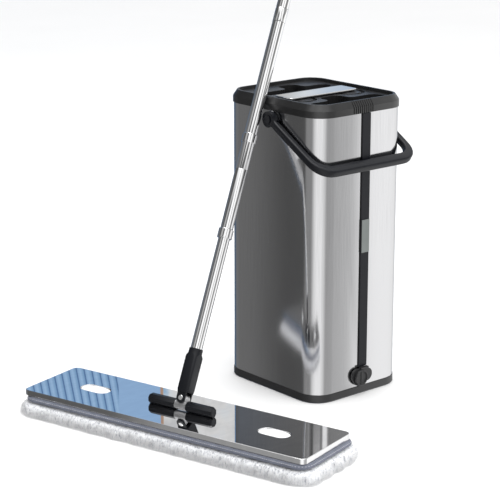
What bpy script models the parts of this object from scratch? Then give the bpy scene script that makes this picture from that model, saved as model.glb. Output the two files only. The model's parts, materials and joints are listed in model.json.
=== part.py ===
"""Flat mop leaning on a two-chamber bucket with a scraper lid, as separate solids in metres.

The origin is the centre of the bucket's underside, on the floor. +Z is up and -Y is the
bucket's front, where the drain and the black strip are. The mop stands on the -X side.
"""
from math import cos, pi, radians, sin, tan

import bmesh
import bpy
from mathutils import Matrix, Vector

GAP = 0.0003                                # room between touching pieces

# Bucket
BUCKET_HEIGHT = 0.400
BASE_X, BASE_Y, BASE_HEIGHT = 0.1605, 0.1862, 0.0112
SHELL_X, SHELL_Y, SHELL_WALL = 0.1590, 0.1847, 0.0012
CORNER = 0.030                              # outer corner radius in plan
RIM_X, RIM_Y, RIM_HEIGHT = 0.1617, 0.1874, 0.0166
RIM_CHAMFER_IN, RIM_CHAMFER_DOWN, RIM_WIDTH = 0.0057, 0.0080, 0.0085
RIM_RIBS, RIM_RIB_X, RIM_RIB_PITCH, RIM_RIB_CUT = 10, -0.0020, 0.0037, 0.0017
TANK_WALL, TANK_FLOOR_Z, TANK_TOP_Z = 0.0018, 0.0125, 0.3825
DIVIDER_Y = 0.0065
DECK_Z, DECK_THICK, SKIRT_Z = 0.3930, 0.0030, 0.3520

# Lid openings, each a wide slot with a notch behind it for the mop's hinge
SLOT_HALF_X, SKIRT_WALL = 0.0600, 0.0016
WASH_SLOT_Y, WASH_NOTCH_X = (-0.0830, -0.0500, -0.0260), (-0.0205, 0.0155)
DRY_SLOT_Y, DRY_NOTCH_X = (0.0280, 0.0500, 0.0740), (-0.0060, 0.0260)
RING_X, RING_Y, RING_OUT, RING_IN = 0.0432, -0.0195, 0.0205, 0.0150
STRIP_X0, STRIP_X1, STRIP_Y0, STRIP_Y1 = -0.0620, 0.0575, -0.0205, 0.0125
STRIP_Z, STRIP_THICK = 0.3972, 0.0022

# Carrying handle
PIVOT_Y, PIVOT_Z = -0.0070, 0.3734
PIN_R, EYE_R, EYE_IN, EYE_OUT = 0.0040, 0.0105, 0.0845, 0.0905
BAIL_REACH, BAIL_DROP_DEG, BAIL_HALF, BAIL_CORNER = 0.1114, 30.6, 0.0851, 0.0245
BAIL_BAR, BAIL_ARM = (0.0135, 0.0108), (0.0091, 0.0100)     # across and through the plane

# Front strip and drain
FRONT_X = 0.0040
TRIM_WIDE, TRIM_THICK, TRIM_BOTTOM_Z = 0.0146, 0.0016, 0.0388
BADGE_Z0, BADGE_Z1 = 0.1970, 0.2415
DRAIN_X, DRAIN_Z, DRAIN_HOLE_R, DRAIN_FLANGE_R, DRAIN_CAP_R = -0.0030, 0.0250, 0.0055, 0.0122, 0.0110
DRAIN_LOBES = ((-0.0055, 0.0030, 0.0092), (0.0133, 0.0015, 0.0090))    # x and z off the axis, radius

# Mop head, in the mop's own frame: X along the plate, Y towards the bucket
MOP_X, MOP_Y, MOP_TURN_DEG = -0.27190, -0.05282, -74.62
PLATE_LONG, PLATE_WIDE, PLATE_TOP_Z, PLATE_SIDE = 0.4342, 0.1078, 0.0310, 0.0070
PLATE_SKIN, PLATE_CORNER = 0.0010, 0.0080
WINDOW_X, WINDOW_LONG, WINDOW_WIDE = 0.1395, 0.0445, 0.0230
PAD_OVERHANG, PAD_SHIFT, FUR_TOP_Z, BACKING_TOP_Z = 0.0110, 0.0030, 0.0160, 0.0232
BLOCK_LONG, BLOCK_SIZE, BLOCK_GAP = 0.0404, 0.0128, 0.0180
AXLE_R, AXLE_HALF = 0.0030, 0.0297
SCREW_X = (0.0355, 0.0430)

# Pole, in the fork's frame: Z along the pole from the fold pin
PIN_LIFT = 0.0084                           # fold pin above the tilt axle
TILT_DEG, FOLD_DEG = -28.42, -1.98
EAR_R, EAR_IN, EAR_OUT, CROTCH_Z = 0.0064, 0.0059, 0.0078, 0.0080
SOCKET_X, SOCKET_Y, SOCKET_TOP_Z = 0.0085, 0.0095, 0.0648
LOWER_R, LOWER_WALL, LOWER_Z0, LOWER_Z1 = 0.0076, 0.0006, 0.0560, 0.2620
OUTER_R, OUTER_WALL = 0.0083, 0.0004
COLLAR_Z0, COLLAR_Z1, COLLAR_R = 0.2110, 0.2237, 0.0097
BEAD_Z, RING_Z0, RING_Z1 = 0.3040, 0.3400, 0.3520
JOINT_Z0, JOINT_Z1 = 0.5070, 0.5260
GRIP_Z0, GRIP_Z1, GRIP_R, TOP_TUBE_END = 1.0000, 1.1500, 0.0120, 1.1450
LOOP_R, LOOP_HOLE_R, LOOP_THICK, LOOP_Z = 0.0150, 0.0085, 0.0080, 1.1740

MATERIALS = {                               # colour, roughness, metallic
    "steel_sheet": ((0.62, 0.63, 0.65), 0.25, 1.0),
    "polished_steel": ((0.80, 0.81, 0.83), 0.06, 1.0),
    "chrome": ((0.86, 0.87, 0.88), 0.08, 1.0),
    "cast_metal": ((0.55, 0.55, 0.56), 0.35, 1.0),
    "dark_plastic": ((0.055, 0.056, 0.060), 0.42, 0.0),
    "black_plastic": ((0.012, 0.013, 0.018), 0.38, 0.0),
    "grey_plastic": ((0.10, 0.105, 0.11), 0.40, 0.0),
    "tank_plastic": ((0.16, 0.165, 0.17), 0.50, 0.0),
    "badge": ((0.14, 0.15, 0.15), 0.45, 0.0),
    "rubber": ((0.03, 0.03, 0.03), 0.70, 0.0),
    "binding": ((0.26, 0.28, 0.34), 0.90, 0.0),
    "fur": ((0.86, 0.87, 0.88), 0.95, 0.0),
}


# ---------------------------------------------------------------- modelling helpers

def material(name):
    found = bpy.data.materials.get(name)
    if found:
        return found
    colour, roughness, metallic = MATERIALS[name]
    made = bpy.data.materials.new(name)
    made.use_nodes = True
    shader = made.node_tree.nodes["Principled BSDF"]
    shader.inputs["Base Color"].default_value = (*colour, 1.0)
    shader.inputs["Roughness"].default_value = roughness
    shader.inputs["Metallic"].default_value = metallic
    return made


def solid(name, look, bm, parent=None, smooth=True):
    """Turn a bmesh into a named object with outward normals."""
    bmesh.ops.recalc_face_normals(bm, faces=bm.faces)
    mesh = bpy.data.meshes.new(name)
    bm.to_mesh(mesh)
    bm.free()
    if smooth:
        mesh.shade_smooth()
        mesh.set_sharp_from_angle(angle=radians(35))
    mesh.materials.append(material(look))
    made = bpy.data.objects.new(name, mesh)
    made.parent = parent
    bpy.context.scene.collection.objects.link(made)
    return made


def empty(name, location=(0, 0, 0), rotation=(0, 0, 0), parent=None):
    made = bpy.data.objects.new(name, None)
    made.location = location
    made.rotation_euler = rotation
    made.parent = parent
    bpy.context.scene.collection.objects.link(made)
    return made


def combine(target, tools, operation):
    """Apply exact booleans to target and remove the tool objects."""
    for tool in tools:
        modifier = target.modifiers.new("combine", "BOOLEAN")
        modifier.object = tool
        modifier.operation = operation
        modifier.solver = "EXACT"
    bpy.context.view_layer.update()
    shape = target.evaluated_get(bpy.context.evaluated_depsgraph_get())
    result = bpy.data.meshes.new_from_object(shape)
    target.modifiers.clear()
    target.data = result
    for tool in tools:
        bpy.data.objects.remove(tool)
    return target


def fillet(corners, radii, steps=4):
    """Round each corner of a closed outline in the plane with its own radius."""
    outline = []
    for i, corner in enumerate(corners):
        here = Vector(corner)
        back = (Vector(corners[i - 1]) - here).normalized()
        ahead = (Vector(corners[(i + 1) % len(corners)]) - here).normalized()
        half = back.angle(ahead) / 2
        radius = radii[i]
        centre = here + (back + ahead).normalized() * radius / sin(half)
        start = here + back * radius / tan(half) - centre
        turn = start.angle_signed(here + ahead * radius / tan(half) - centre)
        for k in range(steps + 1):
            outline.append(centre + Matrix.Rotation(-turn * k / steps, 2) @ start)
    return [(p.x, p.y) for p in outline]


def rounded_box(x, y, radius, steps=5):
    corners = [(x / 2, y / 2), (-x / 2, y / 2), (-x / 2, -y / 2), (x / 2, -y / 2)]
    return fillet(corners, [radius] * 4, steps)


def circle(radius, steps=24, centre=(0, 0)):
    turns = [2 * pi * k / steps for k in range(steps)]
    return [(centre[0] + radius * cos(t), centre[1] + radius * sin(t)) for t in turns]


def skin(bm, rings, closed=False):
    """Join rings of equal length with quads; cap the ends unless the chain is closed."""
    loops = [[bm.verts.new(point) for point in ring] for ring in rings]
    count = len(loops[0])
    pairs = zip(loops, loops[1:] + loops[:1]) if closed else zip(loops, loops[1:])
    for low, high in pairs:
        for i in range(count):
            j = (i + 1) % count
            bm.faces.new((low[i], low[j], high[j], high[i]))
    if not closed:
        bm.faces.new(loops[0])
        bm.faces.new(loops[-1])
    return bm


def stack(levels):
    """Rings for outlines (each a list of x, y) at their heights."""
    return [[(x, y, z) for x, y in outline] for outline, z in levels]


def prism(name, look, levels, parent=None):
    return solid(name, look, skin(bmesh.new(), stack(levels)), parent)


def sleeve(name, look, levels, parent=None):
    """A closed chain of outlines: out, up, in and down, as a ring with a hole."""
    return solid(name, look, skin(bmesh.new(), stack(levels), closed=True), parent)


def turned(name, look, profile, parent=None, steps=28, hollow=False, offset=(0, 0)):
    """Turn a profile of (radius, height) about Z; hollow closes the profile on itself."""
    rings = [[(x, y, z) for x, y in circle(r, steps, offset)] for r, z in profile]
    return solid(name, look, skin(bmesh.new(), rings, closed=hollow), parent)


def pipe(radius, wall, z0, z1):
    return [(radius, z0), (radius, z1), (radius - wall, z1), (radius - wall, z0)]


def aim(made, axis):
    """Lay a shape that was built along Z along X or Y instead."""
    turn = {"X": Matrix.Rotation(pi / 2, 4, "Y"), "Y": Matrix.Rotation(-pi / 2, 4, "X")}[axis]
    made.data.transform(turn)
    return made


def shift(made, offset):
    made.data.transform(Matrix.Translation(offset))
    return made


def rod(axis, radius, low, high, centre, parent=None, name="rod", look="chrome", steps=20):
    """A plain cylinder along an axis, from low to high on that axis through centre."""
    made = turned(name, look, [(radius, low), (radius, high)], parent, steps)
    if axis in "XY":
        aim(made, axis)
    return shift(made, centre)


def block(low, high, parent=None, name="block", look="black_plastic"):
    outline = [(low[0], low[1]), (high[0], low[1]), (high[0], high[1]), (low[0], high[1])]
    return prism(name, look, [(outline, low[2]), (outline, high[2])], parent)


# ---------------------------------------------------------------- bucket

def base_ring():
    corner = CORNER
    lip = 0.0028                            # upstand inside the shell
    inner_x = SHELL_X - 2 * SHELL_WALL - 2 * GAP
    inner_y = SHELL_Y - 2 * SHELL_WALL - 2 * GAP
    foot = rounded_box(BASE_X - 0.003, BASE_Y - 0.003, corner - 0.0015)
    outer = rounded_box(BASE_X, BASE_Y, corner)
    rib_out = rounded_box(inner_x, inner_y, corner - 0.002)
    rib_in = rounded_box(inner_x - 2 * lip, inner_y - 2 * lip, corner - 0.002 - lip)
    return prism("base_ring", "dark_plastic", [
        (foot, 0.0), (outer, 0.0015), (outer, BASE_HEIGHT), (rib_out, BASE_HEIGHT),
        (rib_out, BASE_HEIGHT + 0.0008), (rib_in, BASE_HEIGHT + 0.0008), (rib_in, 0.0040)])


def outer_shell():
    outer = rounded_box(SHELL_X, SHELL_Y, CORNER - 0.0008)
    inner = rounded_box(SHELL_X - 2 * SHELL_WALL, SHELL_Y - 2 * SHELL_WALL,
                        CORNER - 0.0008 - SHELL_WALL)
    bottom, top = BASE_HEIGHT + GAP, BUCKET_HEIGHT - RIM_HEIGHT - GAP
    shell = sleeve("outer_shell", "steel_sheet",
                   [(outer, bottom), (outer, top), (inner, top), (inner, bottom)])
    return combine(shell, [drain_drill()], "DIFFERENCE")


def drain_drill():
    return rod("Y", DRAIN_HOLE_R, -0.100, -0.080, (DRAIN_X, 0, DRAIN_Z))


def inner_tank():
    """Liner with a wash chamber in front of the divider and a wringing chamber behind it."""
    out_x = SHELL_X - 2 * SHELL_WALL - 4 * GAP
    out_y = SHELL_Y - 2 * SHELL_WALL - 4 * GAP
    corner = CORNER - 0.0026
    outline = rounded_box(out_x, out_y, corner)
    tank = prism("inner_tank", "tank_plastic", [(outline, TANK_FLOOR_Z), (outline, TANK_TOP_Z)])
    half_x, half_y = out_x / 2 - TANK_WALL, out_y / 2 - TANK_WALL
    hollow_r, rib_r = corner - TANK_WALL, 0.004
    pockets = []
    for side in (-1, 1):
        wall_y = DIVIDER_Y + side * TANK_WALL / 2
        corners = [(half_x, wall_y), (half_x, side * half_y),
                   (-half_x, side * half_y), (-half_x, wall_y)]
        room = fillet(corners, [rib_r, hollow_r, hollow_r, rib_r])
        pockets.append(prism("room", "tank_plastic", [(room, TANK_FLOOR_Z + 0.002),
                                                      (room, TANK_TOP_Z + 0.01)]))
    return combine(tank, pockets + [drain_drill()], "DIFFERENCE")


def top_rim():
    """Moulded collar with a chamfered top and grip grooves in the middle of its front."""
    bottom, shoulder = BUCKET_HEIGHT - RIM_HEIGHT, BUCKET_HEIGHT - RIM_CHAMFER_DOWN
    outer = rounded_box(RIM_X, RIM_Y, CORNER + 0.0006)
    crown = rounded_box(RIM_X - 2 * RIM_CHAMFER_IN, RIM_Y - 2 * RIM_CHAMFER_IN,
                        CORNER - RIM_CHAMFER_IN)
    inner = rounded_box(RIM_X - 2 * RIM_WIDTH, RIM_Y - 2 * RIM_WIDTH, CORNER - RIM_WIDTH)
    rim = sleeve("top_rim", "grey_plastic", [
        (outer, bottom), (outer, shoulder), (crown, BUCKET_HEIGHT), (inner, BUCKET_HEIGHT),
        (inner, bottom)])
    front = -RIM_Y / 2
    grooves = []
    for i in range(RIM_RIBS):
        x = RIM_RIB_X + (i - (RIM_RIBS - 1) / 2) * RIM_RIB_PITCH
        half, deep = RIM_RIB_CUT / 2, 0.0010
        face = [(front - 0.002, bottom - 0.001), (front + deep, bottom - 0.001),
                (front + deep, shoulder), (front + deep + RIM_CHAMFER_IN, BUCKET_HEIGHT + 0.0006),
                (front - 0.002, BUCKET_HEIGHT + 0.0006)]
        rings = [[(x + s * half, y, z) for y, z in face] for s in (-1, 1)]
        grooves.append(solid("groove", "grey_plastic", skin(bmesh.new(), rings)))
    return combine(rim, grooves, "DIFFERENCE")


def slot_outline(edges, notch, grow=0.0):
    """A wide slot with a narrower notch behind it, grown outwards on every side."""
    front, step, back = edges[0] - grow, edges[1] + grow, edges[2] + grow
    wide, left, right = SLOT_HALF_X + grow, notch[0] - grow, notch[1] + grow
    corners = [(wide, front), (wide, step), (right, step), (right, back),
               (left, back), (left, step), (-wide, step), (-wide, front)]
    out, inside = 0.010 + grow, 0.008 - grow
    return fillet(corners, [out, out, inside, out, out, inside, out, out])


def lid_deck():
    """Recessed deck: two keyed openings, a guide skirt under each and two ring grooves."""
    edge = rounded_box(RIM_X - 2 * RIM_WIDTH - 2 * GAP, RIM_Y - 2 * RIM_WIDTH - 2 * GAP,
                       CORNER - RIM_WIDTH - GAP)
    top = DECK_Z + DECK_THICK
    deck = prism("lid_deck", "grey_plastic", [(edge, DECK_Z), (edge, top)])
    skirts, holes = [], []
    for edges, notch in ((WASH_SLOT_Y, WASH_NOTCH_X), (DRY_SLOT_Y, DRY_NOTCH_X)):
        around, through = slot_outline(edges, notch, SKIRT_WALL), slot_outline(edges, notch)
        skirts.append(prism("skirt", "grey_plastic", [(around, SKIRT_Z), (around, DECK_Z + 0.001)]))
        holes.append(prism("hole", "grey_plastic", [(through, SKIRT_Z - 0.01), (through, top + 0.01)]))
    groove = pipe(RING_OUT, RING_OUT - RING_IN, top - 0.0016, top + 0.001)
    for side in (-1, 1):
        holes.append(turned("groove", "grey_plastic", groove, steps=36, hollow=True,
                            offset=(side * RING_X, RING_Y)))
    combine(deck, skirts, "UNION")
    return combine(deck, holes, "DIFFERENCE")


def scraper():
    """Polished strip on a rubber seat, and the blade that wipes the pad in the dry slot."""
    def outline(inset, radius):
        x0, x1 = STRIP_X0 + inset, STRIP_X1 - inset
        y0, y1 = STRIP_Y0 + inset, STRIP_Y1 - inset
        return fillet([(x1, y0), (x1, y1), (x0, y1), (x0, y0)], [radius] * 4)
    deck_top = DECK_Z + DECK_THICK
    prism("strip_seat", "rubber", [(outline(0.0022, 0.002), deck_top + GAP),
                                   (outline(0.0022, 0.002), STRIP_Z - GAP)])
    edge = 0.0007
    prism("scraper_strip", "polished_steel", [
        (outline(edge, 0.003), STRIP_Z), (outline(0, 0.004), STRIP_Z + edge),
        (outline(0, 0.004), STRIP_Z + STRIP_THICK - edge),
        (outline(edge, 0.003), STRIP_Z + STRIP_THICK)])
    blade_y = DRY_SLOT_Y[0] + GAP
    foot_z, lip_z = SKIRT_Z + 0.006, DECK_Z - 0.004
    section = [(blade_y, foot_z), (blade_y + 0.0016, foot_z), (blade_y + 0.0016, lip_z - 0.006),
               (blade_y + 0.0042, lip_z - 0.002), (blade_y + 0.0034, lip_z), (blade_y, lip_z)]
    rings = [[(x, y, z) for y, z in section] for x in (-0.0490, 0.0490)]
    solid("scraper_blade", "rubber", skin(bmesh.new(), rings), smooth=False)


def drain():
    """Strip down the front, its blank badge, and the drain fitting at its foot."""
    wall_y = -SHELL_Y / 2
    x0, x1 = FRONT_X - TRIM_WIDE / 2, FRONT_X + TRIM_WIDE / 2
    back_y, front_y = wall_y - GAP, wall_y - GAP - TRIM_THICK
    block((x0, front_y, TRIM_BOTTOM_Z), (x1, back_y, BUCKET_HEIGHT - RIM_HEIGHT - GAP),
          name="front_strip")
    inset = 0.0006
    block((x0 + inset, front_y - GAP - 0.0008, BADGE_Z0), (x1 - inset, front_y - GAP, BADGE_Z1),
          name="blank_badge", look="badge")

    def fitting(name, look, profile, hollow=False, steps=28, off=(0, 0)):
        made = turned(name, look, profile, steps=steps, hollow=hollow)
        return shift(aim(made, "Y"), (DRAIN_X + off[0], 0, DRAIN_Z + off[1]))
    seal_in, seal_out = wall_y - GAP, wall_y - GAP - 0.0010
    fitting("drain_seal", "rubber", [(0.0100, seal_out), (0.0100, seal_in),
                                     (DRAIN_HOLE_R, seal_in), (DRAIN_HOLE_R, seal_out)], True)
    flange_in, flange_out = seal_out - GAP, seal_out - GAP - 0.0028
    spigot_end = wall_y + 0.0105
    body = fitting("drain_body", "dark_plastic", [
        (0.0050, spigot_end), (0.0050, flange_in), (DRAIN_FLANGE_R, flange_in),
        (DRAIN_FLANGE_R, flange_out), (0.0033, flange_out), (0.0033, spigot_end)], True)
    lobes = [fitting("lobe", "dark_plastic", [(radius, flange_out), (radius, flange_in)],
                     steps=26, off=(x, z)) for x, z, radius in DRAIN_LOBES]
    brim_top, margin = TRIM_BOTTOM_Z - GAP, 0.0004
    neck = block((x0 + margin, flange_out, 0.0300), (x1 - margin, flange_in, brim_top))
    brim = block((x0 + margin, flange_out - 0.0022, DRAIN_Z + DRAIN_CAP_R + GAP),
                 (x1 - margin, flange_out + 0.0010, brim_top))
    combine(body, lobes + [neck, brim], "UNION")
    combine(body, [rod("Y", 0.0033, -0.120, -0.060, (DRAIN_X, 0, DRAIN_Z), steps=28)],
            "DIFFERENCE")
    inside = wall_y + SHELL_WALL + 2 * GAP + TANK_WALL + GAP
    fitting("drain_nut", "tank_plastic", [
        (0.0075, inside), (0.0075, inside + 0.0030), (0.0054, inside + 0.0030),
        (0.0054, inside)], True)
    drain_cap(flange_out - GAP)


def drain_cap(back_y):
    """Round plug with a dished face and a finger rib across the dish."""
    pivot = empty("drain_axis", (DRAIN_X, back_y, DRAIN_Z))
    face, rim, dish = -0.0042, 0.0018, 0.0018
    cap = turned("drain_cap", "dark_plastic", [
        (0.0029, 0.0130), (0.0029, 0.0), (DRAIN_CAP_R, 0.0), (DRAIN_CAP_R, face + 0.0006),
        (DRAIN_CAP_R - 0.0006, face), (DRAIN_CAP_R - rim, face),
        (DRAIN_CAP_R - rim - 0.0006, face + dish)], pivot)
    aim(cap, "Y")
    reach = DRAIN_CAP_R - rim - 0.0002
    rib = block((-0.0009, face + 0.0007, -reach), (0.0009, face + dish + 0.0006, reach), pivot)
    return combine(cap, [rib], "UNION")


def pivots():
    """Bosses on the shell that the handle swings on, each with a retaining cap."""
    wall_x = SHELL_X / 2
    for side, tag in ((-1, "left"), (1, "right")):
        centre = (0, PIVOT_Y, PIVOT_Z)
        profile = [(0.0090, wall_x + GAP), (0.0090, EYE_IN - GAP), (PIN_R, EYE_IN - GAP),
                   (PIN_R, EYE_OUT + GAP)]
        boss = shift(aim(turned("pivot_boss_" + tag, "black_plastic", profile), "X"), centre)
        cap = rod("X", 0.0056, EYE_OUT + 2 * GAP, EYE_OUT + 0.0016, centre,
                  name="pivot_cap_" + tag, look="black_plastic")
        if side < 0:
            for made in (boss, cap):
                made.data.transform(Matrix.Scale(-1, 4, (1, 0, 0)))
                made.data.flip_normals()


def bail_path():
    """Centre line of the right half: x, distance from the pivot, section width and depth."""
    turn_at = BAIL_REACH - BAIL_CORNER
    across, depth = BAIL_ARM
    points = [((EYE_IN + EYE_OUT) / 2, 0.0, EYE_OUT - EYE_IN - 2 * GAP, depth),
              (0.0874, 0.010, 0.0057, depth), (0.0864, 0.016, across - 0.0003, depth),
              (0.0861, 0.035, across, depth), (0.0858, 0.060, across, depth),
              (BAIL_HALF, turn_at, across + 0.0003, depth)]
    steps = 7
    for k in range(1, steps + 1):
        angle, swell = pi / 2 * k / steps, min(1.0, 1.6 * k / steps)
        points.append((BAIL_HALF - BAIL_CORNER * (1 - cos(angle)),
                       turn_at + BAIL_CORNER * sin(angle),
                       across + (BAIL_BAR[0] - across) * swell,
                       depth + (BAIL_BAR[1] - depth) * swell))
    points.append((0.030, BAIL_REACH, *BAIL_BAR))
    return points


def bail_handle():
    """Carrying handle: two arms and a bar in one moulding, hung forward of its pivots."""
    axis = empty("bail_axis", (0, PIVOT_Y, PIVOT_Z), (radians(BAIL_DROP_DEG), 0, 0))
    right = bail_path()
    line = right + [(-x, v, across, depth) for x, v, across, depth in reversed(right)]
    rings = []
    for i, (x, v, across, depth) in enumerate(line):
        before, after = line[max(i - 1, 0)], line[min(i + 1, len(line) - 1)]
        along = Vector((after[0] - before[0], after[1] - before[1])).normalized()
        side = Vector((along.y, -along.x))
        section = rounded_box(across, depth, 0.0026, 3)
        rings.append([(x + side.x * a, -(v + side.y * a), b) for a, b in section])
    bail = solid("bail_handle", "black_plastic", skin(bmesh.new(), rings), axis)
    eyes, holes = [], []
    for side in (-1, 1):
        low, high = sorted((side * EYE_IN, side * EYE_OUT))
        eyes.append(rod("X", EYE_R, low, high, (0, 0, 0), axis, steps=28))
        holes.append(rod("X", PIN_R + GAP, low - 0.01, high + 0.01, (0, 0, 0), axis))
    combine(bail, eyes, "UNION")
    return combine(bail, holes, "DIFFERENCE")


# ---------------------------------------------------------------- mop head

def window_cutters(mop, radius_grow=0.0):
    """Oval cutters for the two windows along the plate."""
    outline = rounded_box(WINDOW_LONG + 2 * radius_grow, WINDOW_WIDE + 2 * radius_grow,
                          WINDOW_WIDE / 2 + radius_grow - 0.0001, 6)
    cutters = []
    for side in (-1, 1):
        cutter = prism("window", "chrome", [(outline, 0.020), (outline, 0.040)], mop)
        cutters.append(shift(cutter, (side * WINDOW_X, 0, 0)))
    return cutters


def screw_spots():
    return [(side * x, 0.0) for side in (-1, 1) for x in SCREW_X]


def mop_plate(mop):
    """Polished cover: a shallow pressed tray, open below, with two oval windows."""
    def outline(inset):
        return rounded_box(PLATE_LONG - 2 * inset, PLATE_WIDE - 2 * inset,
                           PLATE_CORNER - inset, 4)
    bottom, edge = PLATE_TOP_Z - PLATE_SIDE, 0.0006
    plate = prism("mop_plate", "polished_steel", [
        (outline(0), bottom), (outline(0), PLATE_TOP_Z - edge), (outline(edge), PLATE_TOP_Z)], mop)
    hollow = prism("hollow", "chrome", [(outline(PLATE_SKIN), bottom - 0.002),
                                        (outline(PLATE_SKIN), PLATE_TOP_Z - PLATE_SKIN)], mop)
    drills = [rod("Z", 0.0018, 0.020, 0.040, (x, y, 0), mop, steps=12) for x, y in screw_spots()]
    return combine(plate, [hollow] + window_cutters(mop) + drills, "DIFFERENCE")


def plate_core(mop):
    """Stiff backing inside the tray, with the same windows and the hinge's screw holes."""
    margin = PLATE_SKIN + GAP
    outline = rounded_box(PLATE_LONG - 2 * margin, PLATE_WIDE - 2 * margin,
                          PLATE_CORNER - margin, 4)
    top = PLATE_TOP_Z - PLATE_SKIN - GAP
    core = prism("plate_core", "dark_plastic", [(outline, 0.0247), (outline, top)], mop)
    drills = []
    for x, y in screw_spots():
        drills.append(rod("Z", 0.0018, 0.020, 0.040, (x, y, 0), mop, steps=12))
        drills.append(rod("Z", 0.0034, 0.020, 0.0265, (x, y, 0), mop, steps=16))
    return combine(core, window_cutters(mop, 0.0008) + drills, "DIFFERENCE")


def pad(mop):
    """Removable pad: hook strips on the plate, bound backing cloth and deep pile."""
    for side, tag in ((-1, "front"), (1, "back")):
        block((-0.200, side * 0.030 - 0.009, 0.0235), (0.200, side * 0.030 + 0.009, 0.0244),
              mop, "hook_strip_" + tag, "rubber")
    over = 0.004
    long, wide = PLATE_LONG + 2 * over - 2 * PAD_SHIFT / 3, PLATE_WIDE + 2 * over
    cloth, tuck = rounded_box(long, wide, 0.012, 4), rounded_box(long - 0.003, wide - 0.003, 0.0105, 4)
    backing = prism("pad_backing", "binding", [
        (tuck, FUR_TOP_Z + GAP), (cloth, FUR_TOP_Z + 0.0018),
        (cloth, BACKING_TOP_Z - 0.0015), (tuck, BACKING_TOP_Z)], mop)
    shift(backing, (2 * PAD_SHIFT / 3, 0, 0))

    def pile(inset):
        grown = 2 * (PAD_OVERHANG - inset)
        return rounded_box(PLATE_LONG - 2 * PAD_SHIFT + grown, PLATE_WIDE + grown, 0.025 - inset, 5)
    fur = prism("pad_fur", "fur", [
        (pile(0.003), 0.0), (pile(0.0006), 0.0030), (pile(0), 0.0070),
        (pile(0.0015), 0.0115), (pile(0.006), FUR_TOP_Z)], mop)
    shift(fur, (PAD_SHIFT, 0, 0))


def hinge_base(mop):
    """Two eight-sided blocks screwed to the plate, with the tilt axle between them."""
    axle_z = PLATE_TOP_Z + GAP + BLOCK_SIZE / 2
    flat = BLOCK_SIZE / 2 * tan(pi / 8)
    half = BLOCK_SIZE / 2
    octagon = [(half, flat), (flat, half), (-flat, half), (-half, flat),
               (-half, -flat), (-flat, -half), (flat, -half), (half, -flat)]
    near, far = BLOCK_GAP / 2, BLOCK_GAP / 2 + BLOCK_LONG
    for side, tag in ((-1, "left"), (1, "right")):
        sizes = ((near, 0.94), (near + 0.0008, 1.0), (far - 0.0022, 1.0), (far, 0.80))
        rings = [[(side * x, y * k, axle_z + z * (1.0 if z < 0 else k)) for y, z in octagon]
                 for x, k in sizes]
        made = solid("hinge_block_" + tag, "black_plastic", skin(bmesh.new(), rings), mop)
        low, high = sorted((side * (near - 0.002), side * (AXLE_HALF + GAP)))
        cuts = [rod("X", AXLE_R + GAP, low, high, (0, 0, axle_z), mop)]
        for x in SCREW_X:
            cuts.append(rod("Z", 0.0018, 0.020, PLATE_TOP_Z + 0.0083, (side * x, 0, 0), mop,
                            steps=12))
        combine(made, cuts, "DIFFERENCE")
    rod("X", AXLE_R, -AXLE_HALF, AXLE_HALF, (0, 0, axle_z), mop, "tilt_axle", "chrome")
    profile = [(0.0030, 0.0250), (0.0030, 0.0262), (0.0015, 0.0262), (0.0015, 0.0386)]
    for i, spot in enumerate(screw_spots()):
        turned(f"hinge_screw_{i + 1}", "chrome", profile, mop, 12, offset=spot)
    return axle_z


# ---------------------------------------------------------------- hinge and pole

def yoke(tilt):
    """Cast yoke: a barrel on the tilt axle with a tongue that carries the fold pin."""
    half = BLOCK_GAP / 2 - GAP
    barrel = rod("X", 0.0059, -half, half, (0, 0, 0), tilt, "yoke", "cast_metal", 24)
    arc = [(EAR_R * cos(radians(a)), PIN_LIFT + EAR_R * sin(radians(a)))
           for a in range(0, 181, 20)]
    outline = [(EAR_R, 0.0)] + arc + [(-EAR_R, 0.0)]
    thick = EAR_IN - GAP
    rings = [[(x, y, z) for x, z in outline] for y in (-thick, thick)]
    tongue = solid("tongue", "cast_metal", skin(bmesh.new(), rings), tilt)
    bores = [rod("X", AXLE_R + GAP, -0.02, 0.02, (0, 0, 0), tilt),
             rod("Y", 0.0024 + GAP, -0.02, 0.02, (0, 0, PIN_LIFT), tilt)]
    combine(barrel, [tongue], "UNION")
    combine(barrel, bores, "DIFFERENCE")
    end = EAR_OUT + GAP
    pin = turned("fold_pin", "chrome", [
        (0.0030, -end - 0.0006), (0.0036, -end), (0.0024, -end), (0.0024, end),
        (0.0036, end), (0.0030, end + 0.0006)], tilt, 20)
    shift(aim(pin, "Y"), (0, 0, PIN_LIFT))


def pole_socket(fold):
    """Forked socket: two ears round the pin, a rounded body and a neck for the tube."""
    neck_r, body_top, neck_z = 0.0089, 0.0545, 0.0585
    sides = 24
    round_neck = circle(neck_r, sides)

    def body(scale=1.0):
        return rounded_box(2 * SOCKET_X * scale, 2 * SOCKET_Y * scale, 0.0036, 5)
    made = prism("pole_socket", "black_plastic", [
        (body(0.92), CROTCH_Z - 0.001), (body(), CROTCH_Z + 0.003), (body(), body_top),
        (round_neck, neck_z), (round_neck, SOCKET_TOP_Z)], fold)
    arc = [(EAR_R * cos(radians(a)), EAR_R * sin(radians(a))) for a in range(180, 361, 20)]
    outline = arc + [(EAR_R, 0.008), (0.0076, CROTCH_Z + 0.004), (-0.0076, CROTCH_Z + 0.004),
                     (-EAR_R, 0.008)]
    rings = [[(x, y, z) for x, z in outline] for y in (-EAR_OUT, EAR_OUT)]
    ears = solid("ears", "black_plastic", skin(bmesh.new(), rings), fold)
    combine(made, [ears], "UNION")
    cuts = [block((-0.020, -EAR_IN, -0.020), (0.020, EAR_IN, CROTCH_Z), fold),
            rod("Y", 0.0024 + GAP, -0.02, 0.02, (0, 0, 0), fold),
            rod("Z", 0.0068, 0.0300, 0.0570, (0, 0, 0), fold, steps=24),
            rod("Z", LOWER_R + GAP, LOWER_Z0 - GAP, 0.080, (0, 0, 0), fold, steps=28)]
    return combine(made, cuts, "DIFFERENCE")


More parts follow.
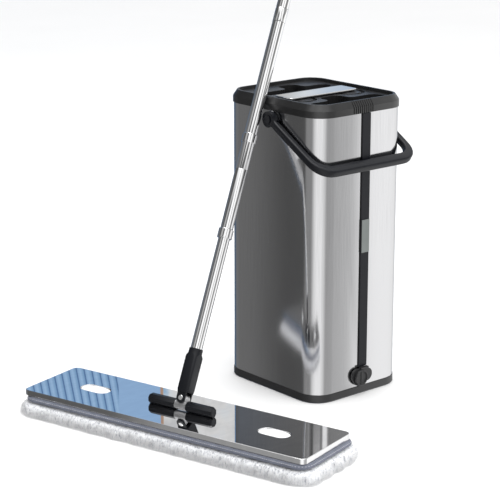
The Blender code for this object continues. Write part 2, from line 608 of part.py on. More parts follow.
def lower_pole(fold):
    """The tube in the socket, the stud that holds it and the plug that locks the slide."""
    pole_socket(fold)
    turned("socket_stud", "dark_plastic", [(0.0055, 0.0303), (0.0065, 0.0320), (0.0065, 0.0760),
                                           (0.0050, 0.0780)], fold, 24)
    turned("lower_tube", "chrome", pipe(LOWER_R, LOWER_WALL, LOWER_Z0, LOWER_Z1), fold,
           hollow=True)
    end = LOWER_Z1 + GAP
    turned("lock_plug", "black_plastic", [(0.0060, 0.2400), (0.0067, 0.2415), (0.0067, end),
                                          (0.0075, end), (0.0075, end + 0.015),
                                          (0.0060, end + 0.0175)], fold, 24)


def upper_pole(slide):
    """Everything that telescopes over the lower tube."""
    inner = OUTER_R - OUTER_WALL
    rounding = 0.0006
    for name, z0, z1, bore in (("slide_collar", COLLAR_Z0, COLLAR_Z1, inner),
                               ("clamp_ring", RING_Z0, RING_Z1, OUTER_R + GAP)):
        turned(name, "chrome", [
            (COLLAR_R - rounding, z0), (COLLAR_R, z0 + rounding), (COLLAR_R, z1 - rounding),
            (COLLAR_R - rounding, z1), (bore, z1), (bore, z0)], slide, hollow=True)
    start = COLLAR_Z1 + GAP
    turned("outer_tube", "chrome", [
        (OUTER_R, start), (OUTER_R, BEAD_Z - 0.0006), (OUTER_R - 0.0002, BEAD_Z),
        (OUTER_R, BEAD_Z + 0.0006), (OUTER_R, JOINT_Z0 - GAP), (inner, JOINT_Z0 - GAP),
        (inner, start)], slide, hollow=True)
    turned("joint_ring", "chrome", [
        (OUTER_R, JOINT_Z0), (OUTER_R + 0.0002, JOINT_Z0 + 0.0006),
        (OUTER_R + 0.0002, JOINT_Z1 - 0.0006), (OUTER_R, JOINT_Z1), (inner, JOINT_Z1),
        (inner, JOINT_Z0)], slide, hollow=True)
    turned("joint_insert", "black_plastic", pipe(inner - GAP, 0.0030, JOINT_Z0 - 0.022,
                                                 JOINT_Z1 + 0.022), slide, hollow=True)
    turned("top_tube", "chrome", pipe(OUTER_R, OUTER_WALL, JOINT_Z1 + GAP, TOP_TUBE_END),
           slide, hollow=True)
    grip(slide)


def grip(slide):
    """Soft sleeve with finger waves, closed by a cap that ends in a hanging loop."""
    waves, length = 6, GRIP_Z1 - GRIP_Z0
    profile = [(OUTER_R + 0.0012, GRIP_Z0)]
    for k in range(4 * waves + 1):
        swell = 0.0006 * cos(pi / 2 * k) + 0.0006
        profile.append((GRIP_R - swell, GRIP_Z0 + 0.002 + (length - 0.003) * k / (4 * waves)))
    profile += [(GRIP_R - 0.001, GRIP_Z1), (OUTER_R + GAP, GRIP_Z1), (OUTER_R + GAP, GRIP_Z0)]
    turned("grip", "black_plastic", profile, slide, 24, hollow=True)
    cap_z = GRIP_Z1 + GAP
    cap = turned("grip_cap", "black_plastic", [
        (0.0105, cap_z), (GRIP_R, cap_z + 0.002), (GRIP_R, cap_z + 0.006),
        (0.0095, cap_z + 0.012)], slide, 24)
    eye = rod("Y", LOOP_R, -LOOP_THICK / 2, LOOP_THICK / 2, (0, 0, LOOP_Z), slide, steps=28)
    hole = rod("Y", LOOP_HOLE_R, -0.02, 0.02, (0, 0, LOOP_Z), slide, steps=24)
    combine(cap, [eye], "UNION")
    combine(cap, [hole], "DIFFERENCE")


# ---------------------------------------------------------------- assembly

def clear_scene():
    for old in list(bpy.data.objects):
        bpy.data.objects.remove(old)


def main():
    clear_scene()
    base_ring()
    outer_shell()
    inner_tank()
    top_rim()
    lid_deck()
    scraper()
    drain()
    pivots()
    bail_handle()
    mop = empty("mop_frame", (MOP_X, MOP_Y, 0), (0, 0, radians(MOP_TURN_DEG)))
    mop_plate(mop)
    plate_core(mop)
    pad(mop)
    axle_z = hinge_base(mop)
    tilt = empty("tilt_axis", (0, 0, axle_z), (radians(TILT_DEG), 0, 0), mop)
    yoke(tilt)
    fold = empty("fold_axis", (0, 0, PIN_LIFT), (0, radians(FOLD_DEG), 0), tilt)
    lower_pole(fold)
    upper_pole(empty("pole_slide", parent=fold))


main()
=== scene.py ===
import json
import math
import random

import bmesh
import bpy
from mathutils import Matrix, Vector, noise

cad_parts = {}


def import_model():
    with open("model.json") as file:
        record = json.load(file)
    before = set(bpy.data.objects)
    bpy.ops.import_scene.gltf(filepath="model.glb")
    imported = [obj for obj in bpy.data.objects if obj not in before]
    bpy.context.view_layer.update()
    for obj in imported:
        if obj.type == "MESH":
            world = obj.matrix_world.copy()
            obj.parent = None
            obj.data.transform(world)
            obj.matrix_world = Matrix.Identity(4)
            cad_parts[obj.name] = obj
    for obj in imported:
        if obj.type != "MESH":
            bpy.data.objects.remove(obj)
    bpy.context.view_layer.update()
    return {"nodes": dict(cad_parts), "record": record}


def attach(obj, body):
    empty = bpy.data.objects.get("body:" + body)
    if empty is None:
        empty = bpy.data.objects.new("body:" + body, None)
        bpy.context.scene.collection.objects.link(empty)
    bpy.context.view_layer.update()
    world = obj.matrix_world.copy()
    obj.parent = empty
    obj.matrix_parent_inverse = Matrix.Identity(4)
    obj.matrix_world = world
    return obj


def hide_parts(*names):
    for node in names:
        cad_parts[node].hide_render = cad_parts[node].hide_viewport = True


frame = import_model()

NODES = frame["nodes"]
BODY = {n: b for b, names in frame["record"]["behaviour"]["bodies"].items() for n in names}
SLOT = {s["node"]: s["material_slot"] for s in frame["record"]["subparts"]}

# The sizes that the pieces made here share with the CAD, in metres.
HEAD_AT = Vector((-0.27190, -0.05282, 0.0))
HEAD_TURN = math.radians(-74.62)
PLATE_LONG, PLATE_WIDE, PAD_CORNER = 0.4342, 0.1078, 0.014
PILE_OUT = 0.011
PAD_SHORTER = 0.006                                     # the pad's outline against the plate's length
WINDOW_X = 0.1395
SLAB_HEIGHTS = (0.0164, 0.0228)
EDGE_ANGLE = math.radians(32)                           # a sharper turn than this is an edge
FLAT_ANGLE = math.radians(0.3)                          # faces that turn less than this are one flat
WELD = 2e-6
FLOOR_GAP = 0.0003                                      # the lowest that a lock's tip hangs
HEAD = Matrix.Translation(HEAD_AT) @ Matrix.Rotation(HEAD_TURN, 4, "Z")
PAD = HEAD @ Matrix.Translation((0.003, 0, 0))          # the pad sits a little towards one end

chance = random.Random(11)


# ---------------------------------------------------------------- materials

class Shader:
    """A Principled material and short ways to drive its sockets from procedural textures."""

    def __init__(self, name, colour, rough, metal=0.0, **sockets):
        self.mat = bpy.data.materials.new(name)
        self.mat.use_nodes = True
        self.tree = self.mat.node_tree
        self.p = self.tree.nodes["Principled BSDF"]
        self.mat.diffuse_color = (*colour, 1)
        self.p.inputs["Base Color"].default_value = (*colour, 1)
        self.p.inputs["Roughness"].default_value = rough
        self.p.inputs["Metallic"].default_value = metal
        for key, value in sockets.items():
            self.p.inputs[key.replace("_", " ")].default_value = value
        self.where = self.node("ShaderNodeTexCoord").outputs["Object"]

    def node(self, kind, **settings):
        n = self.tree.nodes.new(kind)
        for key, value in settings.items():
            setattr(n, key, value)
        return n

    def link(self, a, b):
        self.tree.links.new(a, b)

    def scaled(self, stretch, turn=(0, 0, 0)):
        m = self.node("ShaderNodeMapping")
        m.inputs["Scale"].default_value = stretch
        m.inputs["Rotation"].default_value = turn
        self.link(self.where, m.inputs["Vector"])
        return m.outputs["Vector"]

    def noise(self, scale, stretch=(1, 1, 1), detail=3.0, rough=0.5, turn=(0, 0, 0)):
        n = self.node("ShaderNodeTexNoise")
        n.inputs["Scale"].default_value = scale
        n.inputs["Detail"].default_value = detail
        n.inputs["Roughness"].default_value = rough
        self.link(self.scaled(stretch, turn), n.inputs["Vector"])
        return n.outputs["Fac"]

    def waves(self, scale, direction="X", distort=0.0, turn=(0, 0, 0)):
        n = self.node("ShaderNodeTexWave", bands_direction=direction)
        n.inputs["Scale"].default_value = scale
        n.inputs["Distortion"].default_value = distort
        self.link(self.scaled((1, 1, 1), turn), n.inputs["Vector"])
        return n.outputs["Fac"]

    def spread(self, value, low, high, at=(0.3, 0.7)):
        n = self.node("ShaderNodeMapRange")
        n.inputs["From Min"].default_value, n.inputs["From Max"].default_value = at
        n.inputs["To Min"].default_value, n.inputs["To Max"].default_value = low, high
        self.link(value, n.inputs["Value"])
        return n.outputs["Result"]

    def combine(self, a, b, how="MULTIPLY"):
        n = self.node("ShaderNodeMath", operation=how)
        self.link(a, n.inputs[0])
        self.link(b, n.inputs[1])
        return n.outputs[0]

    def tint(self, value, dark, light, at=(0.3, 0.7)):
        n = self.node("ShaderNodeValToRGB")
        n.color_ramp.elements[0].position, n.color_ramp.elements[1].position = at
        n.color_ramp.elements[0].color = (*dark, 1)
        n.color_ramp.elements[1].color = (*light, 1)
        self.link(value, n.inputs["Fac"])
        self.link(n.outputs["Color"], self.p.inputs["Base Color"])

    def rough(self, value, low, high):
        self.link(self.spread(value, low, high), self.p.inputs["Roughness"])

    def bump(self, value, depth, strength=1.0):
        n = self.node("ShaderNodeBump")
        n.inputs["Distance"].default_value = depth
        n.inputs["Strength"].default_value = strength
        self.link(value, n.inputs["Height"])
        before = self.p.inputs["Normal"]
        if before.is_linked:
            self.link(before.links[0].from_socket, n.inputs["Normal"])
        self.link(n.outputs["Normal"], before)


def steel_sheet():
    """Smooth sheet: the faintest upright grain, cloudy gloss and a slight bow across each face."""
    s = Shader("steel_sheet", (0.70, 0.70, 0.71), 0.14, 1.0)
    grain = s.noise(60, (9, 9, 0.25), 5, 0.65)
    cloud = s.noise(7, (1, 1, 0.5), 3, 0.5)
    s.tint(s.combine(grain, cloud, "ADD"), (0.68, 0.68, 0.69), (0.73, 0.73, 0.74), (0.75, 1.25))
    s.rough(cloud, 0.11, 0.15)
    s.bump(cloud, 0.0012, 0.06)
    return s.mat


def moulded(name, colour, light, rough, coarse=1.0, gloss=0.5):
    """Moulded plastic: fine spark grain, a soft colour drift and small changes of gloss."""
    s = Shader(name, colour, rough, 0.0, Specular_IOR_Level=gloss)
    grain = s.noise(1500 / coarse, (1, 1, 1), 2, 0.5)
    drift = s.noise(22, (1, 1, 1), 4, 0.6)
    s.tint(drift, colour, light)
    s.rough(drift, rough - 0.05, rough + 0.06)
    s.bump(grain, 0.00006 * coarse, 0.5)
    return s.mat


def polished(name, low, high, tone=0.88):
    """Bright metal: almost even, with faint wipe marks in its gloss."""
    s = Shader(name, (tone, tone, tone * 1.005), low, 1.0)
    wipe = s.noise(35, (1, 3, 1), 5, 0.6, (0.2, 0.1, 0.5))
    s.tint(wipe, (tone - 0.04, tone - 0.04, tone - 0.03), (tone + 0.03, tone + 0.03, tone + 0.03))
    s.rough(wipe, low, high)
    return s.mat


def cast_metal():
    s = Shader("cast_metal", (0.66, 0.66, 0.67), 0.36, 1.0)
    pits = s.noise(420, (1, 1, 1), 4, 0.6)
    s.tint(s.noise(60, (1, 1, 1), 3), (0.58, 0.58, 0.59), (0.72, 0.72, 0.73))
    s.rough(pits, 0.28, 0.45)
    s.bump(pits, 0.00012, 0.6)
    return s.mat


def rubber():
    s = Shader("rubber", (0.022, 0.022, 0.023), 0.62)
    fine = s.noise(900, (1, 1, 1), 3)
    s.tint(s.noise(40, (1, 1, 1), 3), (0.018, 0.018, 0.019), (0.034, 0.034, 0.036))
    s.rough(fine, 0.55, 0.72)
    s.bump(fine, 0.00005, 0.5)
    return s.mat


def woven(name, dark, light, pitch=0.0007, sheen=0.35):
    """Plain-weave tape: two sets of ribs across each other, with slubs and sheen."""
    s = Shader(name, light, 0.86, 0.0, Sheen_Weight=sheen, Sheen_Roughness=0.4)
    turn = (0, 0, -HEAD_TURN)
    scale = 1 / (pitch * 6.283) * 2
    warp = s.waves(scale, "X", 0.6, turn)
    weft = s.waves(scale, "Y", 0.6, turn)
    up = s.waves(scale, "Z", 0.4, turn)
    weave = s.combine(s.combine(warp, weft, "MAXIMUM"), up)
    slub = s.noise(140, (1, 1, 1), 4, 0.6)
    s.tint(s.combine(weave, slub, "ADD"), dark, light, (0.45, 1.35))
    s.rough(slub, 0.8, 0.95)
    s.bump(weave, 0.0003, 0.7)
    s.bump(slub, 0.0004, 0.5)
    return s.mat


def microfibre(name, dark, light, fuzz=0.0009):
    """White pile: soft grey breaks between locks that are painted shade where the tufts part, strong fine
    fuzz and sheen.
    """
    s = Shader(name, light, 0.95, 0.0, Sheen_Weight=0.35, Sheen_Roughness=0.5)
    lock = s.noise(430, (1, 1, 0.22), 4, 0.65)
    fine = s.noise(900, (1, 1, 0.35), 3, 0.6)
    # Painted shade: the lock noise greys the pile towards the dark tone between the locks, where shade falls
    # among the tufts.
    s.tint(lock, dark, light, (0.34, 0.52))
    s.rough(fine, 0.9, 1.0)
    s.bump(lock, fuzz, 0.9)
    s.bump(fine, fuzz * 0.3, 0.8)
    return s.mat


MATS = {
    "steel_sheet": steel_sheet(),
    "polished_steel": polished("polished_steel", 0.004, 0.012, 0.93),
    "chrome": polished("chrome", 0.045, 0.09, 0.93),
    "cast_metal": cast_metal(),
    "dark_plastic": moulded("dark_plastic", (0.016, 0.016, 0.017), (0.024, 0.024, 0.025), 0.40, 1.0, 0.65),
    "black_plastic": moulded("black_plastic", (0.0042, 0.0050, 0.0078), (0.0068, 0.0078, 0.0115), 0.40,
                             1.0, 0.36),
    "grey_plastic": moulded("grey_plastic", (0.0095, 0.0095, 0.010), (0.0140, 0.0140, 0.0145), 0.30,
                            1.0, 0.85),
    "tank_plastic": moulded("tank_plastic", (0.020, 0.020, 0.021), (0.030, 0.030, 0.032), 0.45, 1.6),
    "badge": moulded("badge", (0.145, 0.160, 0.155), (0.180, 0.195, 0.190), 0.35),
    "rubber": rubber(),
    "binding": woven("binding", (0.085, 0.095, 0.128), (0.19, 0.205, 0.26)),
    # The fur's dark tone is painted shade between the locks; its light tone is the pile's own white.
    "fur": microfibre("fur", (0.58, 0.595, 0.625), (0.945, 0.945, 0.95)),
    # A darker copy of the fur for the pile's body under the locks: painted shade for the gaps between them.
    "fur_root_painted_shade": microfibre("fur_root_painted_shade", (0.36, 0.37, 0.41), (0.86, 0.87, 0.89)),
    "pad_cloth": woven("pad_cloth", (0.74, 0.75, 0.76), (0.93, 0.93, 0.94), 0.0009),
    "thread": woven("thread", (0.45, 0.46, 0.50), (0.74, 0.75, 0.79), 0.0004),
}


# ---------------------------------------------------------------- shapes

def piece(name, verts, faces, mat, body, slot, smooth=True):
    mesh = bpy.data.meshes.new(name)
    mesh.from_pydata([tuple(v) for v in verts], [], faces)
    mesh.materials.append(mat)
    mesh.polygons.foreach_set("use_smooth", [smooth] * len(mesh.polygons))
    mesh.update()
    obj = bpy.data.objects.new(name, mesh)
    bpy.context.scene.collection.objects.link(obj)
    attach(obj, body)
    return obj


def bevel(obj, width, segments):
    m = obj.modifiers.new("edges", "BEVEL")
    m.width, m.segments = width, segments
    m.limit_method, m.angle_limit = "ANGLE", EDGE_ANGLE
    m.harden_normals = True
    m.miter_outer = "MITER_ARC"
    m.use_clamp_overlap = True


def refined(node, width, segments=3):
    """A finished copy of a CAD node: welded, flats joined up, edges rounded, curves shaded smooth."""
    source = NODES[node].data
    bm = bmesh.new()
    verts = [bm.verts.new(v.co) for v in source.vertices]
    for p in source.polygons:
        bm.faces.new([verts[i] for i in p.vertices])
    bmesh.ops.remove_doubles(bm, verts=bm.verts, dist=WELD)
    bmesh.ops.dissolve_limit(bm, angle_limit=FLAT_ANGLE, verts=bm.verts, edges=bm.edges)
    for e in bm.edges:
        e.smooth = not (len(e.link_faces) == 2 and e.calc_face_angle(0) > EDGE_ANGLE)
    mesh = bpy.data.meshes.new(node + "_fine")
    bm.to_mesh(mesh)
    bm.free()
    mesh.materials.append(MATS[SLOT[node]])
    mesh.polygons.foreach_set("use_smooth", [True] * len(mesh.polygons))
    obj = bpy.data.objects.new(node + "_fine", mesh)
    bpy.context.scene.collection.objects.link(obj)
    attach(obj, BODY[node])
    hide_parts(node)
    if width:
        bevel(obj, width, segments)


def outline(long, wide, corner, step):
    """Points round a rounded rectangle, as (place, outward direction)."""
    hx, hy = long / 2 - corner, wide / 2 - corner
    corners = [(hx, hy, 0), (-hx, hy, 90), (-hx, -hy, 180), (hx, -hy, 270)]
    points = []
    for k, (cx, cy, start) in enumerate(corners):
        turns = max(6, int(corner * math.pi / 2 / step))
        for i in range(turns + 1):
            a = math.radians(start + 90 * i / turns)
            n = Vector((math.cos(a), math.sin(a)))
            points.append((Vector((cx, cy)) + n * corner, n))
        nx, ny, _ = corners[(k + 1) % 4]
        a = math.radians(start + 90)
        n = Vector((math.cos(a), math.sin(a)))
        begin, end = Vector((cx, cy)) + n * corner, Vector((nx, ny)) + n * corner
        parts = max(1, int((end - begin).length / step))
        points += [(begin.lerp(end, i / parts), n) for i in range(1, parts)]
    return points


def band(path, section, place):
    """Sweeps a closed section of (out, z) points round a path: vertices and faces."""
    count, ring = len(path), len(section)
    verts = [place(p, n, out, z) for p, n in path for out, z in section]
    faces = []
    for i in range(count):
        j = (i + 1) % count
        for k in range(ring):
            m = (k + 1) % ring
            faces.append((i * ring + k, i * ring + m, j * ring + m, j * ring + k))
    return verts, faces


# ---------------------------------------------------------------- bucket

def bucket():
    refined("outer_shell", 0.0)
    refined("base_ring", 0.0012)
    refined("top_rim", 0.0005)
    refined("inner_tank", 0.0006)
    refined("lid_deck", 0.0009)
    refined("strip_seat", 0.0003)
    refined("scraper_strip", 0.0010)
    refined("scraper_blade", 0.0004)
    refined("front_strip", 0.0005)
    refined("blank_badge", 0.0002)
    for node in ("drain_seal", "drain_nut"):
        refined(node, 0.0002)
    refined("drain_body", 0.0006)
    refined("drain_cap", 0.0009)
    for side in ("left", "right"):
        refined("pivot_boss_" + side, 0.0008)
        refined("pivot_cap_" + side, 0.0003)
    refined("bail_handle", 0.0012)


# ---------------------------------------------------------------- mop pad

def pile_path():
    return outline(PLATE_LONG - PAD_SHORTER, PLATE_WIDE, PAD_CORNER, 0.0016)


def lump(p, n, z):
    """How far the pile stands proud at a place: soft lumps along the sides, deep rolls at the short ends."""
    end = abs(n.x) ** 2
    rolls = abs(math.sin(p.y * math.pi / 0.0265 + 0.9)) ** 0.7 - 0.6
    here = Vector((p.x, p.y, z))
    soft = noise.noise(here * 75) * 0.0017 + noise.noise(here * 190) * 0.0011
    return soft + end * rolls * 0.0052


def pile_point(p, n, out, z):
    grow = max(0.0, min(1.0, out / PILE_OUT)) * (0.4 + 0.6 * min(1.0, z / 0.006))
    wide = out + lump(p, n, z) * grow
    return PAD @ ((p + n * wide).to_3d() + Vector((0, 0, z)))


def pile():
    section = [(-0.0400, 0.0006), (0.0050, 0.0005), (0.0086, 0.0012), (0.0104, 0.0032), (0.0112, 0.0060),
               (0.0110, 0.0090), (0.0098, 0.0118), (0.0074, 0.0144), (0.0040, 0.0158), (-0.0010, 0.0160),
               (-0.0400, 0.0160)]
    return band(pile_path(), section, pile_point)


def lock(verts, faces, root, out, droop, length, thick):
    """One tapering lock of fibre, bent down along its length."""
    rings = 3
    side = out.cross(Vector((0, 0, 1)))
    side = side.normalized() if side.length > 1e-4 else Vector((1, 0, 0))
    up = side.cross(out).normalized()
    start = len(verts)
    for i in range(rings):
        t = i / rings
        middle = root + out * (length * t) + Vector((0, 0, -droop * t * t))
        r = thick * (1 - t) ** 0.7
        for k in range(3):
            a = 2.1 * k
            verts.append(middle + (side * math.cos(a) + up * math.sin(a)) * r)
    verts.append(root + out * length + Vector((0, 0, -droop)))
    tip = len(verts) - 1
    for i in range(rings - 1):
        a, b = start + i * 3, start + i * 3 + 3
        faces += [(a + k, a + (k + 1) % 3, b + (k + 1) % 3, b + k) for k in range(3)]
    last = start + (rings - 1) * 3
    faces += [(last + k, last + (k + 1) % 3, tip) for k in range(3)]


LOW_ROWS = [(0.0088, 0.0020), (0.0100, 0.0036), (0.0105, 0.0052), (0.0107, 0.0070), (0.0104, 0.0088)]
HIGH_ROWS = [(0.0096, 0.0104), (0.0082, 0.0120), (0.0064, 0.0134), (0.0042, 0.0146), (0.0020, 0.0156)]


def locks(rows):
    """The pile's outer locks, all round its side, in rows that each have a reach and a height."""
    verts, faces = [], []
    path = pile_path()
    for out, z in rows:
        rise = (z - 0.0065) / 0.0095
        for p, n in path:
            along = Vector((-n.y, n.x, 0))
            comb = noise.noise(Vector((p.x, p.y, z * 2)) * 45) * 0.9
            for _ in range(3):
                q = p + Vector((chance.uniform(-1, 1), chance.uniform(-1, 1))) * 0.0010
                zz = max(0.0012, z + chance.uniform(-0.0010, 0.0010))
                root = (q + n * (out - 0.0010 + lump(q, n, zz))).to_3d() + Vector((0, 0, zz))
                aim = n.to_3d() + along * (comb + chance.uniform(-0.25, 0.25))
                aim.z = 0.50 * rise + chance.uniform(-0.30, 0.10)
                aim.normalize()
                length = chance.uniform(0.0030, 0.0060)
                droop = min(chance.uniform(0.0012, 0.0036), root.z + aim.z * length - 0.0004)
                lock(verts, faces, root, aim, max(0.0, droop), length, chance.uniform(0.00028, 0.00052))
    verts = [PAD @ v for v in verts]
    for v in verts:
        v.z = max(v.z, FLOOR_GAP)
    return verts, faces


def tape_point(p, n, out, z):
    sway = (noise.noise(Vector((p.x, p.y, 0)) * 55) * 0.0005
            + noise.noise(Vector((p.x, p.y, z * 6)) * 160) * 0.0002)
    return PAD @ ((p + n * (out + sway)).to_3d() + Vector((0, 0, z + sway * 0.5)))


def tape():
    """The folded tape round the pad's backing: a soft rolled edge just under the plate."""
    section = []
    for k in range(20):
        a = 2 * math.pi * k / 20
        fold = 1 + 0.10 * math.cos(3 * a)
        section.append((0.0008 + 0.0041 * math.cos(a) * fold, 0.0198 + 0.0034 * math.sin(a) * fold))
    section.reverse()
    return band(pile_path(), section, tape_point)


def stitches():
    """A row of short stitches along the tape's upper half."""
    verts, faces = [], []
    path = outline(PLATE_LONG - PAD_SHORTER, PLATE_WIDE, PAD_CORNER, 0.0030)
    for p, n in path:
        along = Vector((-n.y, n.x, 0))
        middle = (p + n * 0.0044).to_3d() + Vector((0, 0, 0.0219))
        sway = noise.noise(Vector((p.x, p.y, 0)) * 55) * 0.0005
        middle += n.to_3d() * sway
        up = Vector((0, 0, 1)) * 0.6 + n.to_3d() * 0.8
        side = along.cross(up).normalized()
        start = len(verts)
        for t, r in ((-1.0, 0.00012), (-0.6, 0.0003), (0.0, 0.00036), (0.6, 0.0003), (1.0, 0.00012)):
            for k in range(6):
                a = math.pi * k / 3
                across = side * math.cos(a) + up.normalized() * math.sin(a)
                verts.append(middle + along * t * 0.0010 + across * r)
        for j in range(4):
            for k in range(6):
                m = (k + 1) % 6
                here = start + j * 6
                faces.append((here + k, here + m, here + 6 + m, here + 6 + k))
        faces.append(tuple(start + k for k in range(6))[::-1])
        faces.append(tuple(start + 24 + k for k in range(6)))
    return [PAD @ v for v in verts], faces


def cloth_windows():
    """The pad's cloth, pressing up a little into the plate's two windows."""
    verts, faces = [], []
    sides = 56
    profile = [(0.0226, 0.0119, 0.0234), (0.0227, 0.0120, 0.0291), (0.0219, 0.0112, 0.0298),
               (0.0216, 0.0109, 0.0304), (0.0200, 0.0094, 0.0308), (0.0150, 0.0060, 0.0310),
               (0.0060, 0.0020, 0.0311)]
    rings = len(profile)
    for middle in (-WINDOW_X, WINDOW_X):
        start = len(verts)
        for long, wide, z in profile:
            for k in range(sides):
                a = 2 * math.pi * k / sides
                c, s = math.cos(a), math.sin(a)
                x = middle + math.copysign(abs(c) ** 0.75, c) * long
                y = math.copysign(abs(s) ** 0.9, s) * wide
                fuzz = noise.noise(Vector((x, y, 0)) * 260) * 0.0002
                verts.append(HEAD @ Vector((x, y, z + fuzz)))
        for i in range(rings - 1):
            for k in range(sides):
                m = (k + 1) % sides
                a = start + i * sides
                faces.append((a + k, a + m, a + sides + m, a + sides + k))
        faces.append(tuple(start + (rings - 1) * sides + k for k in range(sides)))
        faces.append(tuple(start + k for k in range(sides))[::-1])
    return verts, faces


def cloth_slab():
    """The backing cloth between the hook strips and the pile."""
    path = outline(PLATE_LONG - 0.008, PLATE_WIDE - 0.004, PAD_CORNER, 0.004)
    count = len(path)
    verts = [HEAD @ (p.to_3d() + Vector((0, 0, z))) for z in SLAB_HEIGHTS for p, _ in path]
    faces = [(k, (k + 1) % count, count + (k + 1) % count, count + k) for k in range(count)]
    faces += [tuple(range(count))[::-1], tuple(range(count, 2 * count))]
    return verts, faces


def mop_pad():
    # The pile's body wears the darker copy of the fur: painted shade between the locks.
    body = piece("pad_pile", *pile(), MATS["fur_root_painted_shade"], "mop_head", "fur")
    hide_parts("pad_fur")
    for name, rows in (("pad_pile_locks_low", LOW_ROWS), ("pad_pile_locks_high", HIGH_ROWS)):
        tufts = piece(name, *locks(rows), MATS["fur"], "mop_head", "fur")
    hem = piece("pad_tape", *tape(), MATS["binding"], "mop_head", "binding")
    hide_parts("pad_backing")
    piece("pad_stitches", *stitches(), MATS["thread"], "mop_head", "binding")
    slab = piece("pad_cloth", *cloth_slab(), MATS["pad_cloth"], "mop_head", "fur", smooth=False)
    windows = piece("pad_cloth_windows", *cloth_windows(), MATS["pad_cloth"], "mop_head", "fur")


# ---------------------------------------------------------------- mop head and pole

def mop_head():
    refined("mop_plate", 0.0009, segments=4)
    refined("plate_core", 0.0004)
    for node in ("hook_strip_front", "hook_strip_back"):
        refined(node, 0.0002)
    for side in ("left", "right"):
        refined("hinge_block_" + side, 0.0008)
    refined("tilt_axle", 0.0003)
    for k in range(1, 5):
        refined(f"hinge_screw_{k}", 0.0003)
    refined("yoke", 0.0006)
    refined("fold_pin", 0.0005)
    refined("pole_socket", 0.0007)
    refined("socket_stud", 0.0003)


def pole():
    for node in ("lower_tube", "outer_tube", "top_tube"):
        refined(node, 0.0)
    for node in ("slide_collar", "clamp_ring", "joint_ring"):
        refined(node, 0.0004)
    refined("lock_plug", 0.0003)
    refined("joint_insert", 0.0003)
    refined("grip", 0.0006)
    refined("grip_cap", 0.0008)


# ---------------------------------------------------------------- studio

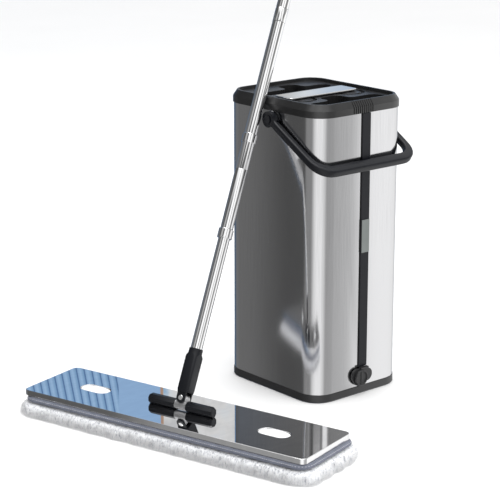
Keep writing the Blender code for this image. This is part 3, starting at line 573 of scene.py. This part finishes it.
def world():
    """Soft studio: pale above, dark on the left, dark and bright flags, a blue slatted wall far behind."""
    w = bpy.data.worlds.new("studio")
    bpy.context.scene.world = w
    w.use_nodes = True
    t = w.node_tree
    back = t.nodes["Background"]
    new, link = t.nodes.new, t.links.new

    def math_node(how, a, b=None):
        n = new("ShaderNodeMath")
        n.operation = how
        for k, value in enumerate((a, b)):
            if value is None:
                continue
            if isinstance(value, (int, float)):
                n.inputs[k].default_value = value
            else:
                link(value, n.inputs[k])
        return n.outputs[0]

    def ramp(value, stops):
        n = new("ShaderNodeValToRGB")
        e = n.color_ramp.elements
        while len(e) < len(stops):
            e.new(0.5)
        for k, (at, colour) in enumerate(stops):
            e[k].position = at
            e[k].color = (*colour, 1) if isinstance(colour, tuple) else (colour, colour, colour, 1)
        link(value, n.inputs["Fac"])
        return n.outputs["Color"]

    def mix(fac, a, b):
        n = new("ShaderNodeMix")
        n.data_type = "RGBA"
        if isinstance(fac, float):
            n.inputs["Factor"].default_value = fac
        else:
            link(fac, n.inputs["Factor"])
        for key, value in (("A", a), ("B", b)):
            s = [i for i in n.inputs if i.name == key and i.type == "RGBA"][0]
            if isinstance(value, tuple):
                s.default_value = (*value, 1)
            else:
                link(value, s)
        return [o for o in n.outputs if o.type == "RGBA"][0]

    split = new("ShaderNodeSeparateXYZ")
    link(new("ShaderNodeTexCoord").outputs["Generated"], split.inputs[0])
    x, y, z = split.outputs
    turn = math_node("DIVIDE", math_node("ARCTAN2", y, x), 2 * math.pi)
    turn = math_node("ADD", turn, 0.5)

    def at(degrees):
        return ((degrees + 180) % 360) / 360

    low = ramp(turn, sorted([
        (at(188), 0.30), (at(204), 0.85), (at(215), 1.05), (at(240), 1.05), (at(255), 0.80), (at(268), 0.42),
        (at(300), 0.46), (at(311), 0.60), (at(313.5), 0.92), (at(318), 1.13), (at(352), 1.05), (at(15), 0.8),
        (at(40), (0.35, 0.45, 0.60)), (at(60), (0.06, 0.12, 0.24)), (at(80), (0.08, 0.13, 0.20)),
        (at(104), 0.20), (at(125), 0.17), (at(136), 0.085), (at(152), 0.11), (at(159), 0.27),
        (at(168), 0.30)]))
    high = ramp(turn, sorted([
        (at(182), 0.45), (at(197), 0.05), (at(207), 0.08), (at(213), 1.0), (at(244), 1.15), (at(250), 0.45),
        (at(256), 0.45), (at(262), 1.1), (at(284), 1.0), (at(294), 0.38), (at(326), 0.30), (at(340), 0.85),
        (at(20), 0.8), (at(45), 0.6), (at(78), (0.05, 0.09, 0.17)), (at(92), 0.09), (at(150), 0.10),
        (at(160), 0.45)]))

    cycles = math_node("ADD", math_node("MULTIPLY", turn, 1370.0), math_node("MULTIPLY", z, 41.0))
    slats = ramp(math_node("FRACT", cycles), [
        (0.0, (0.07, 0.14, 0.29)), (0.14, (0.19, 0.33, 0.53)), (0.55, (0.31, 0.47, 0.68)),
        (0.86, (0.25, 0.40, 0.61)), (1.0, (0.07, 0.14, 0.29))])
    marks = new("ShaderNodeTexNoise")
    marks.inputs["Scale"].default_value = 38.0
    marks.inputs["Detail"].default_value = 5.0
    pale = ramp(marks.outputs["Fac"], [(0.36, (0.48, 0.49, 0.50)), (0.50, (0.66, 0.66, 0.66)),
                                       (0.60, (0.62, 0.66, 0.70)), (0.66, (0.26, 0.42, 0.60))])

    def from_here(degrees):
        return math_node("GREATER_THAN", turn, at(degrees))
    across = math_node("MULTIPLY", math_node("SUBTRACT", turn, at(45.0)), 72.0)
    sky = ramp(across, [(0.10, (0.36, 0.46, 0.60)), (0.38, (0.50, 0.58, 0.68)), (0.55, (0.66, 0.70, 0.74)),
                        (0.80, (0.40, 0.38, 0.35))])
    navy = mix(math_node("GREATER_THAN", z, 0.215), sky, (0.050, 0.095, 0.185))
    wall = mix(from_here(49.75), navy, pale)
    wall = mix(from_here(52.60), wall, (0.40, 0.27, 0.20))
    wall = mix(from_here(52.70), wall, (0.27, 0.42, 0.64))
    wall = mix(from_here(54.15), wall, slats)
    beyond = ramp(turn, [(at(40.0), 0.0), (at(43.0), 1.0), (at(70), 1.0), (at(80), 0.0)])
    wall_shows = math_node("MULTIPLY", beyond, ramp(z, [(0.50, 1.0), (0.62, 0.0)]))
    high = mix(wall_shows, high, wall)
    flags = ramp(turn, sorted([
        (at(182), 0.30), (at(200), 0.12), (at(256), 0.15), (at(264), 1.0), (at(280), 1.0), (at(287), 0.16),
        (at(312), 0.26), (at(330), 0.38), (at(345), 0.80), (at(20), 0.8), (at(45), 0.6),
        (at(78), (0.05, 0.09, 0.17)), (at(92), 0.12), (at(120), (0.14, 0.155, 0.18)), (at(140), 0.165)]))
    flags = mix(wall_shows, flags, wall)
    high = mix(ramp(z, [(0.35, 0.0), (0.43, 1.0)]), flags, high)
    high = mix(ramp(z, [(0.72, 0.0), (0.86, 1.0)]), high, (1.15, 1.15, 1.15))
    mirrored = mix(ramp(z, [(0.02, 0.0), (0.12, 1.0)]), low, high)

    shade = ramp(turn, sorted([(at(100), 0.60), (at(130), 0.45), (at(185), 0.50), (at(215), 1.25),
                               (at(350), 1.25), (at(50), 1.0)]))
    lit = mix(ramp(z, [(0.45, 0.0), (0.85, 1.0)]), shade, (1.2, 1.2, 1.2))
    path = new("ShaderNodeLightPath")
    seen = mix(path.outputs["Is Glossy Ray"], lit, mirrored)
    seen = mix(path.outputs["Is Camera Ray"], seen, (0.95, 0.95, 0.95))
    link(seen, back.inputs["Color"])


def area(name, at, towards, wide, tall, power):
    lamp = bpy.data.lights.new(name, "AREA")
    lamp.shape = "RECTANGLE"
    lamp.size, lamp.size_y = wide, tall
    lamp.energy = power
    obj = bpy.data.objects.new(name, lamp)
    bpy.context.scene.collection.objects.link(obj)
    obj.location = at
    obj.rotation_euler = (Vector(towards) - Vector(at)).to_track_quat("-Z", "Y").to_euler()
    obj.visible_camera = False
    return obj


def studio():
    world()
    mesh = bpy.data.meshes.new("floor")
    r = 20.0
    mesh.from_pydata([(-r, -r, 0), (r, -r, 0), (r, r, 0), (-r, r, 0)], [], [(0, 1, 2, 3)])
    floor = bpy.data.objects.new("floor", mesh)
    bpy.context.scene.collection.objects.link(floor)
    s = Shader("floor", (0.90, 0.90, 0.90), 0.6)
    s.tint(s.noise(3, (1, 1, 1), 4), (0.90, 0.90, 0.90), (0.915, 0.915, 0.915))
    mesh.materials.append(s.mat)
    floor.visible_glossy = False
    floor.visible_diffuse = False
    area("key", (0.7, -1.9, 1.5), (0, 0, 0.25), 1.2, 1.2, 16).visible_glossy = False
    area("top", (-0.1, 0.1, 2.4), (-0.05, 0, 0), 1.6, 1.6, 26)


def camera():
    cam = bpy.data.cameras.new("camera")
    cam.lens, cam.sensor_width = 125.13, 36.0
    obj = bpy.data.objects.new("camera", cam)
    bpy.context.scene.collection.objects.link(obj)
    obj.location = (-1.54295, -1.67706, 0.8027)
    obj.rotation_euler = (math.pi / 2 - 0.2665, 0.0, math.atan2(-0.64849, 0.76122))
    bpy.context.scene.camera = obj


camera()
studio()
bucket()
mop_head()
mop_pad()
pole()
bpy.context.scene.view_settings.view_transform = "Standard"
